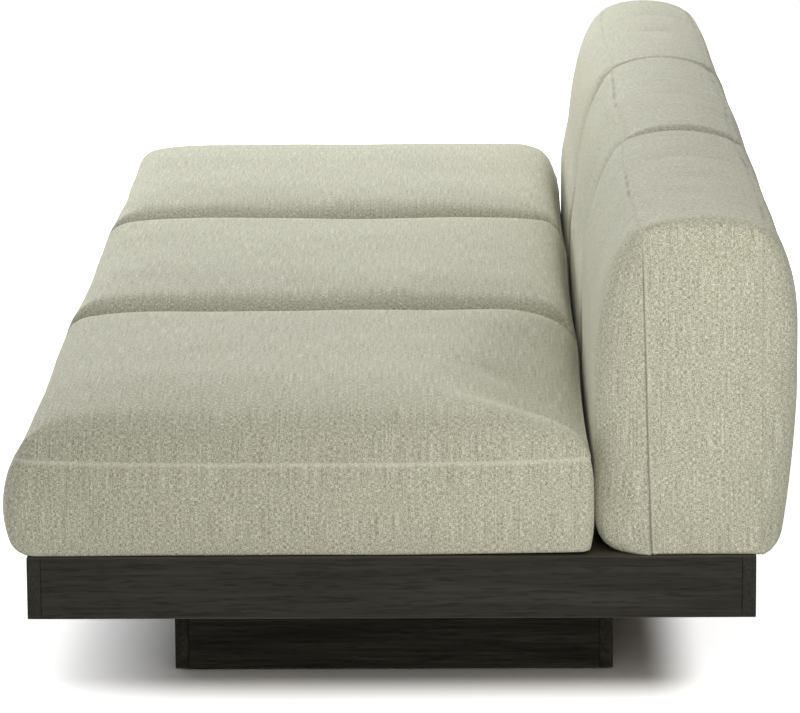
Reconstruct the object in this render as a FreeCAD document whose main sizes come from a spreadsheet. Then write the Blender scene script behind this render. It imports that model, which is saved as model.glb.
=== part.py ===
# Three-seater platform sofa: loose seat and back cushions on a dark timber platform with a recessed plinth.
# Millimetres. X runs along the sofa, the sitter looks towards -Y, Z is up.
# The origin is on the floor, in the middle of the sofa's outer box.

import FreeCAD
import Part
import Sketcher
import math
import os
import re

Vector = FreeCAD.Vector

SEATS = ("left", "middle", "right")

# Distance within which two points count as the same place, and the least swell of an arc.
NEAR = 1
LEAST_RISE = 1.5

# Driving sizes: alias, value, meaning.
SIZES = [
    ("bay_width", 800, "one seat, centre to centre"),
    ("platform_depth", 1000, "platform, front face to rear face"),
    ("rail_height", 87, "height of the platform's boards"),
    ("board_thick", 19, "thickness of platform and plinth boards"),
    ("edge_ease", 1, "small chamfer on the outer edges of platform and plinth boards, joints included"),
    ("plinth_height", 122, "height of the plinth's boards"),
    ("plinth_inset", 190, "plinth set back from the platform's front and rear"),
    ("plinth_end_inset", 190, "plinth set back from the platform's ends"),
    ("glide_height", 3, "felt glide under the plinth"),
    ("glide_width", 13, "width of a felt glide"),
    ("glide_length", 45, "length of a felt glide"),
    ("glide_inset", 60, "glide's middle from the end of its board"),
    ("deck_thick", 18, "deck panel, flush with the top of the platform"),
    ("deck_gap", 0.5, "gap round a deck panel"),
    ("cross_width", 45, "width of a cross rail"),
    ("bearer_width", 40, "width of a long bearer"),
    ("bearer_inset", 130, "front and middle bearers' middles, in from the plinth's faces"),
    ("lap_gap", 0.2, "clearance in a halved joint"),
    ("cleat_width", 25, "square cleat under the deck's edge"),
    ("tenon_thick", 8, "loose tenon, thickness"),
    ("tenon_width", 40, "loose tenon, height in the joint"),
    ("tenon_length", 36, "loose tenon, along the joint"),
    ("tenon_bite", 11, "depth of the tenon in the outer board"),
    ("tenon_gap", 0.2, "clearance round a tenon"),
    ("upright_width", 60, "steel upright in a back cushion, width"),
    ("upright_thick", 8, "steel upright, thickness"),
    ("upright_rise", 330, "steel upright above the deck"),
    ("upright_inset", 150, "an upright's middle, in from the end of its bay"),
    ("upright_corner", 12, "cut top corner of an upright"),
    ("upright_gap", 1.5, "clearance round an upright in deck and cushion"),
    ("bolt_thick", 8, "coach screw through an upright into the bearer"),
    ("bolt_head", 13, "across the flats of a coach screw's head"),
    ("bolt_head_height", 5.5, "height of a coach screw's head"),
    ("bolt_length", 40, "coach screw under its head"),
    ("bolt_spacing", 34, "the two coach screws of one upright"),
    ("bolt_gap", 0.3, "clearance round a coach screw"),
    ("block_width", 40, "square block that ties plinth to platform"),
    ("block_height", 96, "height of that block"),
    ("seat_over", 16, "seat's front seam in front of the platform"),
    ("seat_gap", 6, "gap between the fullest parts of seat and back cushions"),
    ("seat_boxing", 136, "seat cushion's side strip, height"),
    ("seat_rise", 60, "rise of the top panel's shoulder above the seam"),
    ("seat_shoulder", 85, "run of the top panel's shoulder"),
    ("seat_pull", 3, "front and rear strips drawn in between the corners"),
    ("seat_crown", 9, "crown of the top panel between the shoulders"),
    ("seat_front_bulge", 15, "swell of the front strip"),
    ("seat_rear_bulge", 8, "swell of the rear strip"),
    ("seat_foot", 26, "rounding of the seat cushion's lower edges"),
    ("seat_corner", 24, "rounding of the seat cushion's upright corners"),
    ("seat_pad_side", 42, "wadding of a seat cover, sides"),
    ("seat_pad_under", 12, "wadding of a seat cover, underside"),
    ("seat_foam_height", 145, "foam block in a seat cushion"),
    ("back_over", 8, "back's rear seam behind the platform"),
    ("back_boxing", 158, "back cushion's edge strip, width"),
    ("back_seam", 454, "back cushion's top seam above the deck"),
    ("back_drop", 6, "top seam's drop at the cushion's ends"),
    ("back_lean", 22, "front seam's lean to the rear, from its top to the deck"),
    ("back_crown", 19, "crown of the top strip"),
    ("back_front_fill", 67, "swell of the front panel"),
    ("back_rear_fill", 45, "swell of the rear panel"),
    ("back_shoulder", 75, "run of the panels' shoulders"),
    ("back_foot", 50, "rounding of the back cushion's lower edges"),
    ("back_pad_side", 50, "wadding of a back cover, ends"),
    ("back_pad_front", 12, "wadding between front seam and foam"),
    ("back_pad_under", 12, "wadding of a back cover, underside"),
    ("back_foam_height", 410, "foam block in a back cushion"),
    ("side_gap", 1, "each cushion's clearance to the edge of its bay"),
    ("rest_gap", 0.3, "clearance where soft pieces rest or fit"),
]

# Places worked out from the driving sizes.
PLACES = {
    "half_length": "bay_width * 1.5",
    "front_reach": "seat_over + seat_front_bulge",
    "rear_reach": "back_over + back_rear_fill",
    "front_face": "front_reach - (platform_depth + front_reach + rear_reach) / 2",
    "rear_face": "front_face + platform_depth",
    "plinth_top": "glide_height + plinth_height",
    "deck_top": "plinth_top + rail_height",
    "deck_under": "deck_top - deck_thick",
    "beam_height": "rail_height - deck_thick",
    "inner_depth": "platform_depth - 2 * board_thick",
    "inner_half": "half_length - board_thick",
    "cross_place": "bay_width / 2",
    "plinth_half": "half_length - plinth_end_inset",
    "plinth_front": "front_face + plinth_inset",
    "plinth_rear": "rear_face - plinth_inset",
    "plinth_inner": "plinth_rear - plinth_front - 2 * board_thick",
    "back_rear_seam": "rear_face + back_over",
    "back_front_seam": "back_rear_seam - back_boxing",
    "upright_place": "(back_front_seam + back_rear_seam) / 2",
    "bearer_front": "plinth_inset + bearer_inset",
    "bearer_middle": "platform_depth - plinth_inset - bearer_inset",
    "bearer_back": "upright_place - upright_thick / 2 - bearer_width / 2 - front_face",
    "seat_front_seam": "front_face - seat_over",
    "seat_rear_seam": "back_front_seam - back_front_fill - seat_gap - seat_rear_bulge",
    "cushion_half": "bay_width / 2 - side_gap",
    "cushion_base": "deck_top + rest_gap",
}

ALIASES = {alias for alias, value, note in SIZES}

document = FreeCAD.newDocument("Sofa")
sheet = document.addObject("Spreadsheet::Sheet", "Sizes")
for row, (alias, value, note) in enumerate(SIZES, start=1):
    sheet.set(f"A{row}", note)
    sheet.set(f"B{row}", str(value))
    sheet.setAlias(f"B{row}", alias)
document.recompute()

nodes = []


# Expressions and numbers from the sheet.


def formula(text):
    """The text as an expression on the sheet, with every place written out in driving sizes."""

    def swap(match):
        word = match.group()
        if word in PLACES:
            return "(" + formula(PLACES[word]) + ")"
        return "Sizes." + word if word in ALIASES else word

    return re.sub(r"[a-z][a-z_]+", swap, text)


def size(text):
    """The number that an expression gives now."""
    return float(sheet.evalExpression(formula(text)))


def bind(thing, **texts):
    """Binds properties to the sheet. A double underscore stands for a dot."""
    for name, text in texts.items():
        thing.setExpression(name.replace("__", "."), formula(text))


def place(thing, x, y, z):
    bind(thing, Placement__Base__x=x, Placement__Base__y=y, Placement__Base__z=z)


def keep(thing, label):
    """Makes the object a sub-part with its own label."""
    thing.Label = label
    nodes.append(thing)
    return thing


# Ways to make a piece.


def board(name, length, width, height, x, y, z):
    box = document.addObject("Part::Box", name)
    bind(box, Length=length, Width=width, Height=height)
    place(box, x, y, z)
    return box


def eased(blank, chosen):
    """The blank with a small chamfer on each edge whose middle is chosen."""
    document.recompute()
    take = size("edge_ease")
    middles = [edge.CenterOfMass for edge in blank.Shape.Edges]
    chamfer = document.addObject("Part::Chamfer", blank.Name + "_eased")
    chamfer.Base = blank
    chamfer.Edges = [(i, take, take) for i, middle in enumerate(middles, start=1) if chosen(middle)]
    return chamfer


def profile_pad(name, plane, corners, thickness, reverse=False):
    """A body padded from one closed outline, whose corners are expressions on the sketch's two axes."""
    body = document.addObject("PartDesign::Body", name)
    sketch = body.newObject("Sketcher::SketchObject", name + "_outline")
    support = next(f for f in body.Origin.OriginFeatures if f.Role == plane)
    sketch.AttachmentSupport = [(support, "")]
    sketch.MapMode = "FlatFace"
    points = [Vector(size(u), size(v), 0) for u, v in corners]
    count = len(points)
    for i in range(count):
        sketch.addGeometry(Part.LineSegment(points[i], points[(i + 1) % count]), False)
    for i in range(count):
        sketch.addConstraint(Sketcher.Constraint("Coincident", i, 2, (i + 1) % count, 1))
    for i, corner in enumerate(corners):
        for kind, axis, text in (("DistanceX", -2, corner[0]), ("DistanceY", -1, corner[1])):
            if text == "0":
                sketch.addConstraint(Sketcher.Constraint("PointOnObject", i, 1, axis))
                continue
            made = sketch.addConstraint(Sketcher.Constraint(kind, -1, 1, i, 1, size(text)))
            sketch.setExpression(f"Constraints[{made}]", formula(text))
    pad = body.newObject("PartDesign::Pad", name + "_pad")
    pad.Profile = sketch
    bind(pad, Length=thickness)
    pad.Reversed = reverse
    return body


def group(name, shapes):
    """Several separate solids of one kind as one object."""
    feature = document.addObject("Part::Feature", name)
    feature.Shape = Part.makeCompound(shapes)
    return feature


def drilled(blank, label, cutters):
    """The blank with every cutter taken out of it."""
    cut = document.addObject("Part::Cut", label + "_drilled")
    cut.Base = blank
    cut.Tool = group(label + "_cutters", cutters)
    return keep(cut, label)


def block_cutter(low, high):
    return Part.makeBox(high.x - low.x, high.y - low.y, high.z - low.z, low)


# Loose tenons: each joins the end of one timber to the inner face of another.


def tenon_joints():
    """Where each tenon sits: point on the joint's face, and the way out of the end grain."""
    middle = size("plinth_top + beam_height / 2")
    front = size("front_face + board_thick")
    rear = size("rear_face - board_thick")
    end = size("inner_half")
    joints = []
    for side in (-1, 1):
        for x in (side * size("half_length - board_thick / 2"), side * size("cross_place")):
            joints.append((Vector(x, front, middle), Vector(0, -1, 0)))
            joints.append((Vector(x, rear, middle), Vector(0, 1, 0)))
        for bearer in ("bearer_front", "bearer_middle", "bearer_back"):
            y = size("front_face + " + bearer)
            joints.append((Vector(side * end, y, middle), Vector(side, 0, 0)))
    corner = size("plinth_half - board_thick / 2")
    height = size("glide_height + plinth_height / 2")
    for x in (-corner, 0, corner):
        joints.append((Vector(x, size("plinth_front + board_thick"), height), Vector(0, -1, 0)))
        joints.append((Vector(x, size("plinth_rear - board_thick"), height), Vector(0, 1, 0)))
    return joints


def tenon(point, out, gap):
    """One tenon, or with a gap the mortise it fits in, as a box across the joint's face."""
    bite = size("tenon_bite")
    inner = size("tenon_length") - bite
    across = Vector(abs(out.y), abs(out.x), 0) * (size("tenon_thick") / 2 + gap)
    upright = Vector(0, 0, size("tenon_width") / 2 + gap)
    tip = point + out * (bite + gap)
    tail = point - out * (inner + gap)
    low = Vector(min(tip.x, tail.x), min(tip.y, tail.y), point.z) - across - upright
    high = Vector(max(tip.x, tail.x), max(tip.y, tail.y), point.z) + across + upright
    return block_cutter(low, high)


def mortises(chosen):
    gap = size("tenon_gap")
    return [tenon(point, out, gap) for point, out in tenon_joints() if chosen(point, out)]


# Glue blocks that tie the plinth to the bearers and cross rails above it.


def plinth_block_tops():
    """Middle of each block's top, under a bearer or a cross rail."""
    half_block = size("block_width / 2")
    end = size("plinth_half - board_thick") - half_block
    places = []
    for side in (-1, 1):
        for bearer in ("bearer_front", "bearer_middle"):
            places.append((side * end, size("front_face + " + bearer)))
        for y in (size("plinth_front + board_thick") + half_block,
                  size("plinth_rear - board_thick") - half_block):
            places.append((side * size("cross_place"), y))
    return [Vector(x, y, size("plinth_top")) for x, y in places]


# Steel uprights: two in each back cushion, screwed to the rear face of the back bearer.


def upright_places():
    offset = size("bay_width / 2 - upright_inset")
    return [size("bay_width") * bay + side * offset for bay in (-1, 0, 1) for side in (-1, 1)]


def bolt_points():
    """Where each coach screw's axis meets the rear face of its upright."""
    rear = size("upright_place + upright_thick / 2")
    middle = size("plinth_top + beam_height / 2")
    rise = size("bolt_spacing / 2")
    return [Vector(x, rear, middle + step) for x in upright_places() for step in (-rise, rise)]


def hexagon(middle, along, height):
    radius = size("bolt_head") / math.sqrt(3)
    corners = []
    for i in range(7):
        turn = math.radians(60 * i)
        corners.append(middle + Vector(radius * math.cos(turn), 0, radius * math.sin(turn)))
    return Part.Face(Part.makePolygon(corners)).extrude(along * height)


def bolt_hole(point):
    length = size("bolt_length + bolt_gap")
    return Part.makeCylinder(size("bolt_thick / 2 + bolt_gap"), length, point, Vector(0, -1, 0))


def bolt(point):
    head = hexagon(point, Vector(0, 1, 0), size("bolt_head_height"))
    shank = Part.makeCylinder(size("bolt_thick / 2"), size("bolt_length"), point, Vector(0, -1, 0))
    return head.fuse(shank)


def upright_pocket(x, foot, top):
    """Clearance round one upright between two heights."""
    half_width = size("upright_width / 2 + upright_gap")
    half_thick = size("upright_thick / 2 + upright_gap")
    y = size("upright_place")
    return block_cutter(Vector(x - half_width, y - half_thick, foot),
                        Vector(x + half_width, y + half_thick, top))


# Cushions: lofts along the sofa through closed outlines of lines and arcs.


def bow(start, end, swell):
    """Arc from start to end that swells to the right of the way it goes, in the plane x = constant."""
    way = end - start
    outward = Vector(0, way.z, -way.y).normalize()
    middle = (start + end) / 2 + outward * swell
    return Part.Arc(start, middle, end).toShape()


def quarter(share):
    """Height of a quarter circle at a share of its run, from 0 to 1."""
    return math.sqrt(1 - (1 - min(share, 1.0)) ** 2)


def shoulder_swell(run, rise):
    """Swell of an arc that climbs the rise over the run and ends level."""
    chord = math.hypot(run, rise)
    return chord / 2 * math.tan(math.atan2(rise, run) / 2)


def outline(corners, swells):
    """Closed wire through the corners; the first edge is straight, the others are arcs."""
    edges = [Part.makeLine(corners[0], corners[1])]
    for i, swell in enumerate(swells, start=1):
        edges.append(bow(corners[i], corners[(i + 1) % len(corners)], swell))
    return Part.Wire(edges)


def cushion_loft(section, stations, middle):
    """Solid through mirrored sections, each given by its distance from the cushion's end."""
    half = size("cushion_half")
    wires = [section(-half + far, far) for far in stations]
    wires += [section(half - far, far) for far in reversed(stations[:-1])]
    solid = Part.makeLoft(wires, True, True)
    solid.translate(Vector(middle, 0, 0))
    return solid


def seat_section(x, far):
    """Seat cushion's outline at a distance from its end: boxed sides, shouldered and crowned top."""
    run = size("seat_shoulder")
    rise = size("seat_rise")
    round_off = 1 - quarter(far / size("seat_corner"))
    past_corner = max(far - size("seat_corner"), 0) / size("cushion_half - seat_corner")
    drawn = size("seat_corner") * round_off + size("seat_pull") * (1 - (1 - past_corner) ** 2)
    front = size("seat_front_seam") + drawn
    rear = size("seat_rear_seam") - drawn
    foot = size("seat_foot")
    base = size("cushion_base") + foot / 2 * round_off
    seam = size("cushion_base + seat_boxing")
    radius = (run * run + rise * rise) / (2 * rise)
    short = max(run - far, 0)
    climb = max(rise - radius + math.sqrt(radius * radius - short * short), LEAST_RISE)
    along = 1 - far / size("cushion_half")
    crown = size("seat_crown") * (1 - along * along) + LEAST_RISE
    corners = [Vector(x, y, z) for y, z in (
        (front + foot, base), (rear - foot, base), (rear, base + foot), (rear, seam),
        (rear - run, seam + climb), (front + run, seam + climb), (front, seam), (front, base + foot))]
    shoulder = shoulder_swell(run, climb)
    corner = foot * (1 - math.sqrt(0.5)) / math.sqrt(2)
    return outline(corners, (corner, size("seat_rear_bulge"), shoulder, crown, shoulder,
                             size("seat_front_bulge"), corner))


def back_section(x, far):
    """Back cushion's outline at a distance from its end: swollen front and rear, crowned top strip."""
    share = quarter(far / size("back_shoulder"))
    front_fill = LEAST_RISE + (size("back_front_fill") - LEAST_RISE) * share
    rear_fill = LEAST_RISE + (size("back_rear_fill") - LEAST_RISE) * share
    front = size("back_front_seam")
    rear = size("back_rear_seam")
    base = size("cushion_base")
    foot = size("back_foot")
    shoulder = size("back_shoulder")
    seam = size("cushion_base + back_seam") - size("back_drop") * (1 - share)
    lean = size("back_lean") * (1 - share)
    low_lean = lean * (1 - foot / (seam - base))
    high_lean = lean * shoulder / (seam - base)
    crown = size("back_crown") * (0.5 + 0.5 * share)
    corners = [Vector(x, y, z) for y, z in (
        (front + lean - 0.5 * front_fill, base), (rear - foot / 5, base),
        (rear + 0.65 * rear_fill, base + foot), (rear + 0.71 * rear_fill, seam - shoulder),
        (rear, seam), (front, seam),
        (front + high_lean - 0.72 * front_fill, seam - shoulder),
        (front + low_lean - 0.93 * front_fill, base + foot))]
    turn = 0.05 * foot * (1 + 2 * share)
    return outline(corners, (turn, 0.32 * rear_fill, 0.18 * rear_fill, crown,
                             0.13 * front_fill, 0.16 * front_fill, turn))


def seat_foam_box(gap):
    """Foam block of a seat cushion, or with a gap the space for it in the cover."""
    side = size("seat_pad_side") - gap
    base = size("cushion_base + seat_pad_under")
    half = size("cushion_half") - side
    return (Vector(-half, size("seat_front_seam") + side, base - gap),
            Vector(half, size("seat_rear_seam") - side, base + size("seat_foam_height") + gap))


def back_foam_box(gap):
    """Foam block of a back cushion, or with a gap the space for it in the cover."""
    half = size("cushion_half - back_pad_side") + gap
    inset = size("back_pad_front") - gap
    base = size("cushion_base + back_pad_under")
    return (Vector(-half, size("back_front_seam") + inset, base - gap),
            Vector(half, size("back_rear_seam") - inset, base + size("back_foam_height") + gap))


def shifted_box(corners, middle):
    shift = Vector(middle, 0, 0)
    return block_cutter(corners[0] + shift, corners[1] + shift)


# Platform boards: long rails run the full length, end rails fit between them.


def make_platform():
    end = size("half_length") - NEAR
    long_rails = (("front_rail", "front_face", -1), ("rear_rail", "rear_face - board_thick", 1))
    for label, y, way in long_rails:
        blank = board(label + "_blank", "2 * half_length", "board_thick", "rail_height",
                      "-half_length", y, "plinth_top")
        core = size(y + " + board_thick / 2")
        shaped = eased(blank, lambda m: way * (m.y - core) > NEAR or abs(m.x) > end)
        drilled(shaped, label, mortises(lambda p, out: out.y == way and p.z > size("plinth_top")))
    for side, label in ((-1, "left_end_rail"), (1, "right_end_rail")):
        x = "-half_length" if side < 0 else "inner_half"
        blank = board(label + "_blank", "board_thick", "inner_depth", "rail_height",
                      x, "front_face + board_thick", "plinth_top")
        shaped = eased(blank, lambda m: abs(m.x) > end)
        drilled(shaped, label, mortises(
            lambda p, out: p.z > size("plinth_top") and (out.x == side or p.x * side > size("inner_half"))))


def make_cross_rails():
    """Two cross rails, halved from above over the three bearers."""
    top = "beam_height"
    half = "beam_height / 2 - lap_gap"
    corners = [("0", "0"), ("inner_depth", "0"), ("inner_depth", top)]
    for bearer in ("bearer_back", "bearer_middle", "bearer_front"):
        near = f"{bearer} - board_thick - bearer_width / 2 - lap_gap"
        far = f"{bearer} - board_thick + bearer_width / 2 + lap_gap"
        corners += [(far, top), (far, half), (near, half), (near, top)]
    corners.append(("0", top))
    for side, name in ((-1, "left"), (1, "right")):
        label = name + "_cross_rail"
        blank = profile_pad(label + "_blank", "YZ_Plane", corners, "cross_width")
        x = ("-cross_place" if side < 0 else "cross_place") + " - cross_width / 2"
        place(blank, x, "front_face + board_thick", "plinth_top")
        cutters = mortises(lambda p, out: abs(p.x - side * size("cross_place")) < NEAR and out.y)
        drilled(blank, label, cutters)


def make_bearers():
    """Three long bearers, halved from below over the cross rails."""
    top = "beam_height"
    half = "beam_height / 2 + lap_gap"
    corners = [("0", "0")]
    for middle in ("inner_half - cross_place", "inner_half + cross_place"):
        near = f"{middle} - cross_width / 2 - lap_gap"
        far = f"{middle} + cross_width / 2 + lap_gap"
        corners += [(near, "0"), (near, half), (far, half), (far, "0")]
    corners += [("2 * inner_half", "0"), ("2 * inner_half", top), ("0", top)]
    for name in ("front", "middle", "back"):
        label = name + "_bearer"
        blank = profile_pad(label + "_blank", "XZ_Plane", corners, "bearer_width", reverse=True)
        place(blank, "-inner_half", f"front_face + bearer_{name} - bearer_width / 2", "plinth_top")
        y = size("front_face + bearer_" + name)
        cutters = mortises(lambda p, out: out.x and abs(p.y - y) < NEAR)
        if name == "back":
            cutters += [bolt_hole(point) for point in bolt_points()]
        drilled(blank, label, cutters)


def make_cleats():
    """Square cleats that carry the deck's edges, cut to fit between the cross rails."""
    width = size("cleat_width")
    base = size("deck_under") - width
    cross = size("cross_place")
    half = size("cross_width / 2 + deck_gap")
    end = size("inner_half")
    runs = ((-end, -cross - half), (-cross + half, cross - half), (cross + half, end))
    for label, y in (("front_cleats", size("front_face + board_thick")),
                     ("rear_cleats", size("rear_face - board_thick") - width)):
        strips = [block_cutter(Vector(a, y, base), Vector(b, y + width, base + width)) for a, b in runs]
        keep(group(label, strips), label)
    strips = []
    stops = [size("front_face + board_thick") + width + size("deck_gap")]
    for bearer in ("bearer_front", "bearer_middle", "bearer_back"):
        middle = size("front_face + " + bearer)
        gap = size("bearer_width / 2 + deck_gap")
        stops += [middle - gap, middle + gap]
    stops.append(size("rear_face - board_thick") - width - size("deck_gap"))
    for side in (-1, 1):
        low, high = sorted((side * (end - width), side * end))
        for near, far in zip(stops[::2], stops[1::2]):
            strips.append(block_cutter(Vector(low, near, base), Vector(high, far, base + width)))
    keep(group("end_cleats", strips), "end_cleats")


def make_deck():
    """One panel to a bay, flush with the rails, slotted for the uprights."""
    for bay, name in enumerate(SEATS, start=-1):
        label = name + "_deck_panel"
        low = "-inner_half" if bay < 0 else ("-cross_place" if bay == 0 else "cross_place")
        width = "2 * cross_place" if bay == 0 else "inner_half - cross_place"
        blank = board(label + "_blank", width + " - 2 * deck_gap", "inner_depth - 2 * deck_gap", "deck_thick",
                      low + " + deck_gap", "front_face + board_thick + deck_gap", "deck_under")
        slots = [upright_pocket(x, size("deck_under"), size("deck_top")) for x in upright_places()]
        drilled(blank, label, slots)


# Plinth, tie blocks and glides.


def make_plinth():
    end = size("plinth_half") - NEAR
    for label, y, way in (("plinth_front", "plinth_front", -1),
                          ("plinth_rear", "plinth_rear - board_thick", 1)):
        blank = board(label + "_blank", "2 * plinth_half", "board_thick", "plinth_height",
                      "-plinth_half", y, "glide_height")
        core = size(y + " + board_thick / 2")
        shaped = eased(blank, lambda m: way * (m.y - core) > NEAR or abs(m.x) > end)
        drilled(shaped, label, mortises(lambda p, out: out.y == way and p.z < size("plinth_top")))
    ends = (("plinth_left_end", "-plinth_half"), ("plinth_divider", "-board_thick / 2"),
            ("plinth_right_end", "plinth_half - board_thick"))
    for label, x in ends:
        blank = board(label + "_blank", "board_thick", "plinth_inner", "plinth_height",
                      x, "plinth_front + board_thick", "glide_height")
        middle = size(x + " + board_thick / 2")
        shaped = blank if label == "plinth_divider" else eased(blank, lambda m: abs(m.x) > end)
        drilled(shaped, label, mortises(lambda p, out: p.z < size("plinth_top") and abs(p.x - middle) < NEAR))


def make_tie_blocks():
    half = size("block_width / 2")
    drop = Vector(0, 0, size("block_height"))
    side = Vector(half, half, 0)
    blocks = [block_cutter(top - drop - side, top + side) for top in plinth_block_tops()]
    keep(group("plinth_blocks", blocks), "plinth_blocks")


def make_glides():
    """Felt strips under the long plinth boards."""
    rows = (size("plinth_front + board_thick / 2"), size("plinth_rear - board_thick / 2"))
    columns = [side * x for side in (-1, 1) for x in (size("plinth_half - glide_inset"), size("cross_place"))]
    half = Vector(size("glide_length / 2"), size("glide_width / 2"), 0)
    top = Vector(0, 0, size("glide_height"))
    strips = []
    for x in columns:
        for y in rows:
            middle = Vector(x, y, 0)
            strips.append(block_cutter(middle - half, middle + half + top))
    keep(group("floor_glides", strips), "floor_glides")


# Fasteners and the uprights they hold.


def make_fasteners():
    keep(group("frame_tenons", [tenon(point, out, 0) for point, out in tenon_joints()]), "frame_tenons")
    keep(group("upright_screws", [bolt(point) for point in bolt_points()]), "upright_screws")


def make_uprights():
    """Flat steel bars with cut top corners, standing through the deck's slots."""
    foot = "plinth_top + beam_height / 2 - bolt_spacing / 2 - bolt_head"
    corners = [("0", "0"), ("upright_width", "0"), ("upright_width", f"deck_top + upright_rise - ({foot})"),
               ("0", f"deck_top + upright_rise - ({foot})")]
    for number, x in enumerate(upright_places(), start=1):
        label = f"back_upright_{number}"
        blank = profile_pad(label + "_bar", "XZ_Plane", corners, "upright_thick", reverse=True)
        document.recompute()
        pad = blank.Tip
        top = max(edge.Vertexes[0].Z for edge in pad.Shape.Edges)
        corner_edges = [f"Edge{i}" for i, edge in enumerate(pad.Shape.Edges, start=1)
                        if min(v.Z for v in edge.Vertexes) > top - NEAR and edge.Length < 2 * size("upright_thick")]
        chamfer = blank.newObject("PartDesign::Chamfer", label + "_corners")
        chamfer.Base = (pad, corner_edges)
        bind(chamfer, Size="upright_corner")
        side = "-" if number % 2 else "+"
        bay = (number - 1) // 2 - 1
        place(blank, f"{bay} * bay_width {side} (bay_width / 2 - upright_inset) - upright_width / 2",
              "upright_place - upright_thick / 2", foot)
        drilled(blank, label, [bolt_hole(point) for point in bolt_points()])


# Soft pieces: a wadded cover round a foam block, for each seat and each back.


def make_seat_cushions():
    half = size("cushion_half")
    corner = size("seat_corner")
    run = size("seat_shoulder")
    stations = (0, corner * 0.3, corner, run * 0.55, run, half)
    for bay, name in enumerate(SEATS, start=-1):
        middle = bay * size("bay_width")
        cover = document.addObject("Part::Feature", "seat_cover_" + name)
        loft = cushion_loft(seat_section, stations, middle)
        cover.Shape = loft.cut(shifted_box(seat_foam_box(size("rest_gap")), middle))
        keep(cover, "seat_cover_" + name)
        foam = document.addObject("Part::Feature", "seat_foam_" + name)
        foam.Shape = shifted_box(seat_foam_box(0), middle)
        keep(foam, "seat_foam_" + name)


def make_back_cushions():
    run = size("back_shoulder")
    steps = [run * (1 - math.cos(math.radians(angle))) for angle in (0, 22.5, 45, 67.5, 90)]
    stations = (*steps, size("cushion_half"))
    for bay, name in enumerate(SEATS, start=-1):
        middle = bay * size("bay_width")
        top = size("deck_top + upright_rise + upright_gap")
        pockets = Part.makeCompound([upright_pocket(x, size("deck_top"), top) for x in upright_places()])
        cover = document.addObject("Part::Feature", "back_cover_" + name)
        loft = cushion_loft(back_section, stations, middle)
        hollow = loft.cut(shifted_box(back_foam_box(size("rest_gap")), middle))
        cover.Shape = hollow.cut(pockets)
        keep(cover, "back_cover_" + name)
        foam = document.addObject("Part::Feature", "back_foam_" + name)
        foam.Shape = shifted_box(back_foam_box(0), middle).cut(pockets)
        keep(foam, "back_foam_" + name)


def check_and_write():
    """Stops at any failed or open piece, then writes one file for each sub-part."""
    document.recompute()
    failed = [o.Name for o in document.Objects if "Invalid" in o.State or "Error" in o.State]
    if failed:
        raise RuntimeError(f"failed to build: {failed}")
    for node in nodes:
        shape = node.Shape
        if shape.isNull() or not shape.isValid() or not shape.Solids:
            raise RuntimeError(f"{node.Label} is not a valid solid")
        if node.TypeId == "Part::Cut" and shape.Volume >= node.Base.Shape.Volume - NEAR:
            raise RuntimeError(f"{node.Label} was not cut by its tools")
    os.makedirs("parts", exist_ok=True)
    for node in nodes:
        node.Shape.exportStep(f"parts/{node.Label}.step")
    print(len(nodes), "sub-parts written")


make_platform()
make_cross_rails()
make_bearers()
make_cleats()
make_deck()
make_plinth()
make_tie_blocks()
make_glides()
make_fasteners()
make_uprights()
make_seat_cushions()
make_back_cushions()
check_and_write()
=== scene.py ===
import math
import bpy
import numpy as np
from mathutils import Matrix, Vector


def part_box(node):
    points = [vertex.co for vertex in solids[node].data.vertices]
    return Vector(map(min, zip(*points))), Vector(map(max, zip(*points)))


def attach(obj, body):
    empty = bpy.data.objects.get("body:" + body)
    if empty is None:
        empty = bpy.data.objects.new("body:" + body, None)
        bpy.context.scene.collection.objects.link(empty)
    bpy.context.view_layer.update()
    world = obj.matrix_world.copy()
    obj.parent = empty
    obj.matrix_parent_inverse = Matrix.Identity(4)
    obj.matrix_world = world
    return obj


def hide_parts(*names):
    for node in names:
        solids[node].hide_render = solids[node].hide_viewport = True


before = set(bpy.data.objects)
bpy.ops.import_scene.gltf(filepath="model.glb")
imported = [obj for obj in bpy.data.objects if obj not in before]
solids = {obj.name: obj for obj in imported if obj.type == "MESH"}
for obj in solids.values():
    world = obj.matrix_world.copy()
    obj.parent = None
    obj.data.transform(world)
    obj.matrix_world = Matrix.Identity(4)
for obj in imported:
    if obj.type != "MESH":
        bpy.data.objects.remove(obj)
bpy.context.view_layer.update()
scene = bpy.context.scene
print("frame loaded:", len(solids), "solids")

# camera, floor and light

cameraSet = {
    "place": (7.3903, 0.0981, 1.7376),
    "lens": 209.44,  # sensor 36 mm wide, picture 800 x 713
    "tilt": 0.1986,
    "yaw": -0.0153,
    "roll": -0.0070,
}


def addCamera(c):
    flat = math.cos(c["tilt"])
    look = Vector((-math.cos(c["yaw"]) * flat, math.sin(c["yaw"]) * flat, -math.sin(c["tilt"])))
    across = Vector((math.sin(c["yaw"]), math.cos(c["yaw"]), 0))
    upward = across.cross(look)
    turn = Matrix.Rotation(c["roll"], 3, -look)  # small roll about the view line
    across = turn @ across
    upward = turn @ upward
    data = bpy.data.cameras.new("photoCamera")
    data.sensor_width = 36
    data.lens = c["lens"]
    data.clip_end = 200
    camera = bpy.data.objects.new("photoCamera", data)
    camera.matrix_world = Matrix((
        (across.x, upward.x, -look.x, c["place"][0]),
        (across.y, upward.y, -look.y, c["place"][1]),
        (across.z, upward.z, -look.z, c["place"][2]),
        (0, 0, 0, 1),
    ))
    scene.collection.objects.link(camera)
    scene.camera = camera


def feed(tree, socket, value):  # a link or a fixed value
    if isinstance(value, bpy.types.NodeSocket):
        tree.links.new(value, socket)
    else:
        socket.default_value = value


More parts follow.
